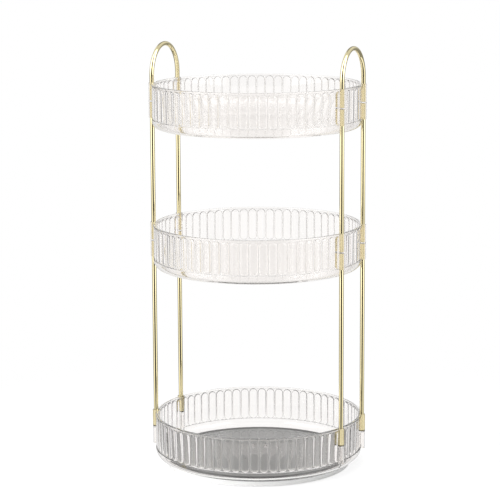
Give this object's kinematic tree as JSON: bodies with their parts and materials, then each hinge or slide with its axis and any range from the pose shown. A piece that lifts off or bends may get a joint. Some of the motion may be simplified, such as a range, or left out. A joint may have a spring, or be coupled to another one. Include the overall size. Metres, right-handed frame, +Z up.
{
  "type": "rotating makeup organizer",
  "caption": "Tiered rotating makeup organizer: clear fluted round trays on slim gold rods with hoop handles, turning together on a low white ball-bearing base.",
  "frame": {"origin": "on the table, under the middle of the base", "axes": "+Z up along the turning axis, +X through the middle of the right hoop, -Y towards the front"},
  "size_m": [0.23, 0.23, 0.4685],
  "materials": {
    "clear_acrylic": "clear polished",
    "gold_rod": "polished pale gold plating",
    "white_plastic": "gloss white",
    "plate_plastic": "grey satin",
    "retainer_plastic": "natural nylon",
    "bearing_steel": "bright steel",
    "foot_rubber": "matt"
  },
  "bodies": {
    "base": {"base_dish": "white_plastic", "base_feet": "foot_rubber", "pivot_screw": "bearing_steel", "pivot_washer": "bearing_steel"},
    "ball_ring": {"ball_retainer": "retainer_plastic", "bearing_balls": "bearing_steel"},
    "carousel": {"turntable_plate": "plate_plastic", "bottom_tray": "clear_acrylic", "middle_tray": "clear_acrylic", "top_tray": "clear_acrylic", "lower_rod_right_front": "gold_rod", "lower_rod_right_rear": "gold_rod", "lower_rod_left_front": "gold_rod", "lower_rod_left_rear": "gold_rod", "upper_rod_right_front": "gold_rod", "upper_rod_right_rear": "gold_rod", "upper_rod_left_front": "gold_rod", "upper_rod_left_rear": "gold_rod", "right_hoop": "gold_rod", "left_hoop": "gold_rod"}
  },
  "joints": [
    {"name": "turntable_spin", "type": "hinge", "parent": "base", "child": "carousel", "pos_m": [0, 0, 0.008], "axis": [0, 0, 1], "continuous": true},
    {"name": "ball_ring_spin", "type": "hinge", "parent": "base", "child": "ball_ring", "pos_m": [0, 0, 0.0054], "axis": [0, 0, 1], "continuous": true}
  ],
  "couplings": [
    {"joint": "ball_ring_spin", "follows": "turntable_spin", "ratio": 0.5}
  ]
}
